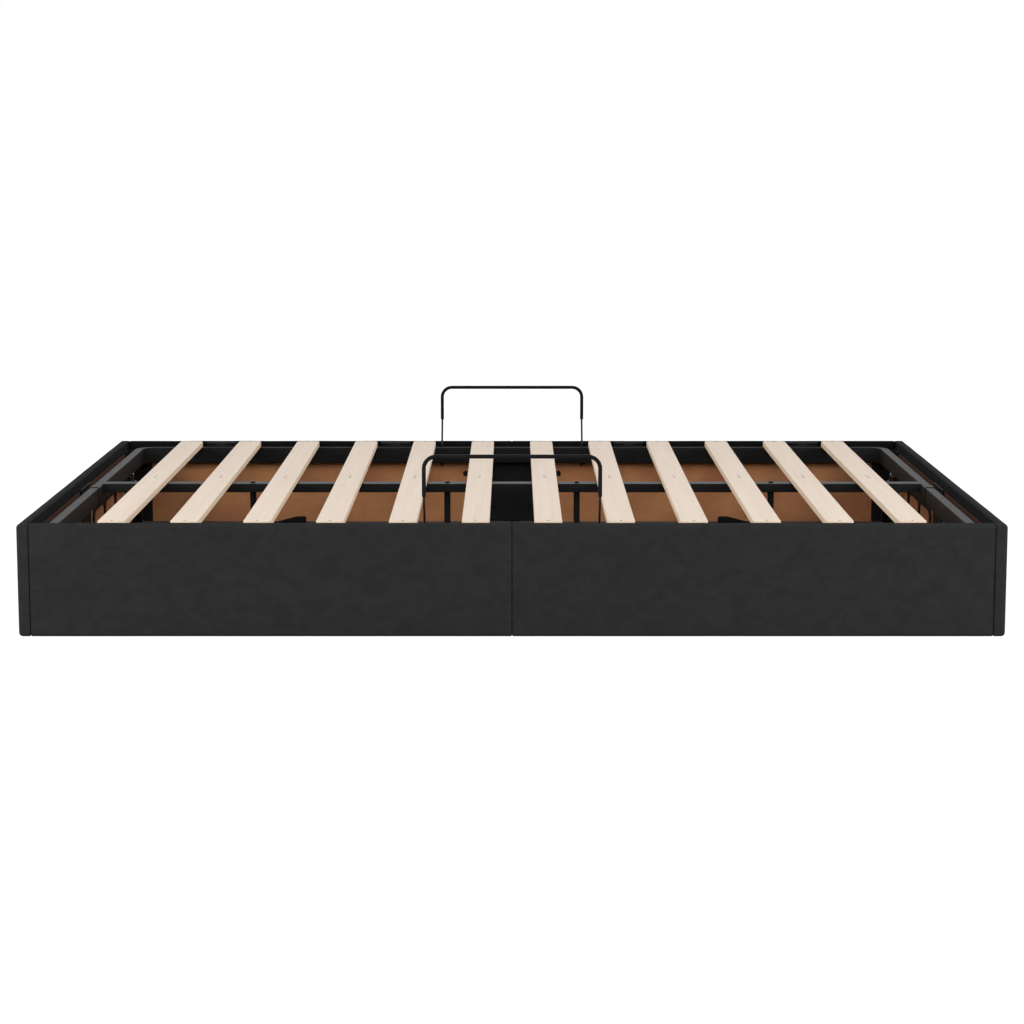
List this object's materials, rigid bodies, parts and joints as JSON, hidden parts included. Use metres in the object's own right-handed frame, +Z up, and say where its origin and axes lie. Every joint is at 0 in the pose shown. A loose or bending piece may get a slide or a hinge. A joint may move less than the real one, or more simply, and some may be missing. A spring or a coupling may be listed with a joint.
{
  "type": "ottoman bed base",
  "caption": "Low velvet-covered storage bed base whose slatted platform hinges along the back and lifts at the front on gas struts, with wire mattress retainers.",
  "frame": {"origin": "on the floor under the middle of the bed", "axes": "+X along the bed's long side, +Y towards the hinged back, +Z up; -Y is the side that lifts"},
  "size_m": [2.03, 1.43, 0.3772],
  "materials": {
    "velvet": "black velvet pile",
    "core_board": "bare reddish-brown board",
    "slat_wood": "pale sawn timber, fine grain",
    "frame_steel": "satin black powder coat",
    "bolt_steel": "blackened",
    "floor_board": "dark cloth-faced board",
    "webbing": "black woven webbing",
    "rubber": "matte",
    "sleeve_plastic": "satin black",
    "strut_black": "semi-gloss black",
    "strut_chrome": "polished"
  },
  "bodies": {
    "base": {"cover_front_left": "velvet", "board_front_left": "core_board", "cover_front_right": "velvet", "board_front_right": "core_board", "cover_back_left": "velvet", "board_back_left": "core_board", "cover_back_right": "velvet", "board_back_right": "core_board", "cover_left_front": "velvet", "board_left_front": "core_board", "cover_left_back": "velvet", "board_left_back": "core_board", "cover_right_front": "velvet", "board_right_front": "core_board", "cover_right_back": "velvet", "board_right_back": "core_board", "corner_brackets": "frame_steel", "joint_plates": "frame_steel", "hinge_fixed_leaves": "frame_steel", "strut_base_plate_left": "frame_steel", "strut_base_plate_right": "frame_steel", "floor_centre_rail": "frame_steel", "panel_bolts": "bolt_steel", "floor_board_left_front": "floor_board", "floor_board_left_back": "floor_board", "floor_board_right_front": "floor_board", "floor_board_right_back": "floor_board", "floor_cleats": "core_board", "floor_pull_loops": "webbing"},
    "platform": {"frame_hoop_front": "frame_steel", "frame_hoop_back": "frame_steel", "mid_bar": "frame_steel", "rail_sleeves": "frame_steel", "slat_01": "slat_wood", "slat_02": "slat_wood", "slat_03": "slat_wood", "slat_04": "slat_wood", "slat_05": "slat_wood", "slat_06": "slat_wood", "slat_07": "slat_wood", "slat_08": "slat_wood", "slat_09": "slat_wood", "slat_10": "slat_wood", "slat_11": "slat_wood", "slat_12": "slat_wood", "platform_fasteners": "bolt_steel", "retainer_rods_front": "frame_steel", "retainer_rods_back": "frame_steel", "retainer_loop_front": "sleeve_plastic", "retainer_loop_back": "sleeve_plastic", "support_legs": "frame_steel", "leg_feet": "rubber", "hinge_moving_leaves": "frame_steel", "lift_plate_left": "frame_steel", "lift_plate_right": "frame_steel"},
    "strut_left_cylinder": {"strut_barrel_left": "strut_black"},
    "strut_left_piston": {"strut_rod_left": "strut_chrome"},
    "strut_right_cylinder": {"strut_barrel_right": "strut_black"},
    "strut_right_piston": {"strut_rod_right": "strut_chrome"}
  },
  "joints": [
    {"name": "platform_lift", "type": "hinge", "parent": "base", "child": "platform", "pos_m": [0, 0.6865, 0.23], "axis": [-1, 0, 0], "range_deg": [0, 40]},
    {"name": "strut_left_swing", "type": "hinge", "parent": "base", "child": "strut_left_cylinder", "pos_m": [-0.955, 0.6165, 0.0425], "axis": [-1, 0, 0], "range_deg": [0, 20]},
    {"name": "strut_left_rod_swing", "type": "hinge", "parent": "platform", "child": "strut_left_piston", "pos_m": [-0.955, 0.49556, 0.17], "axis": [-1, 0, 0], "range_deg": [-20, 0]},
    {"name": "strut_right_swing", "type": "hinge", "parent": "base", "child": "strut_right_cylinder", "pos_m": [0.955, 0.6165, 0.0425], "axis": [-1, 0, 0], "range_deg": [0, 20]},
    {"name": "strut_right_rod_swing", "type": "hinge", "parent": "platform", "child": "strut_right_piston", "pos_m": [0.955, 0.49556, 0.17], "axis": [-1, 0, 0], "range_deg": [-20, 0]}
  ],
  "couplings": [
    {"joint": "strut_left_swing", "follows": "platform_lift", "ratio": 0.5},
    {"joint": "strut_left_rod_swing", "follows": "platform_lift", "ratio": -0.5},
    {"joint": "strut_right_swing", "follows": "platform_lift", "ratio": 0.5},
    {"joint": "strut_right_rod_swing", "follows": "platform_lift", "ratio": -0.5}
  ]
}
